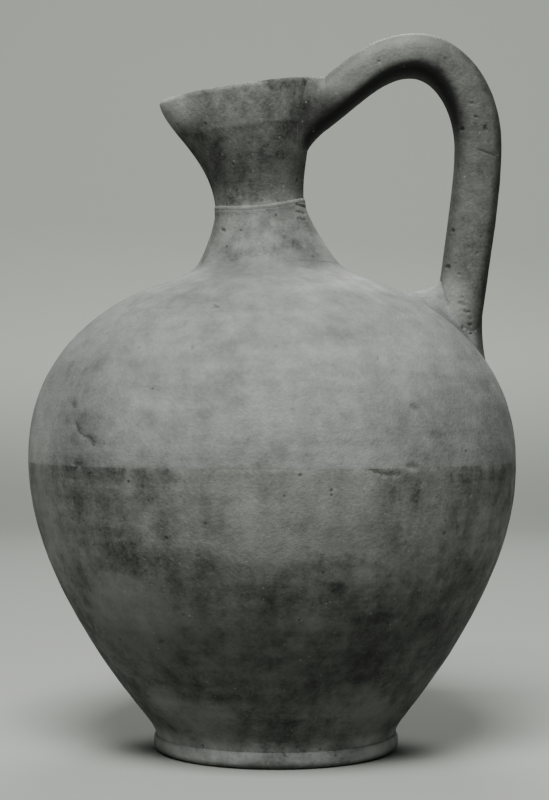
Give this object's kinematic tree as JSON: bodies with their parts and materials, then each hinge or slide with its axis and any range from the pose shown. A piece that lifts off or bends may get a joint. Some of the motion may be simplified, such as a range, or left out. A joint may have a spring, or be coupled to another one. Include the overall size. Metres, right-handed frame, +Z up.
{
  "type": "jug",
  "caption": "Earthenware jug with a ring foot, egg-shaped body, short leaning neck, beaked mouth and one high loop handle from rim to shoulder.",
  "frame": {"origin": "middle of the foot, on the plane that the jug stands on", "axes": "+Z up; the beak points to -X and the handle stands on the +X side, in the plane Y = 0"},
  "size_m": [0.2324, 0.2324, 0.3419],
  "materials": {
    "foot_ring": "fired clay, grey, worn at the resting edge",
    "lower_body": "fired clay, dark grey, streaked by wiping",
    "upper_body": "fired clay, light grey, mottled",
    "neck": "fired clay, light grey, blotched",
    "mouth": "fired clay, dark grey, pitted",
    "handle": "fired clay, mid grey, pitted",
    "handle_root_upper": "fired clay, dark grey",
    "handle_root_lower": "fired clay, light grey, pitted"
  },
  "bodies": {
    "root": {"foot_ring": "foot_ring", "lower_body": "lower_body", "upper_body": "upper_body", "neck": "neck", "mouth": "mouth", "handle": "handle", "handle_root_upper": "handle_root_upper", "handle_root_lower": "handle_root_lower"}
  },
  "joints": []
}
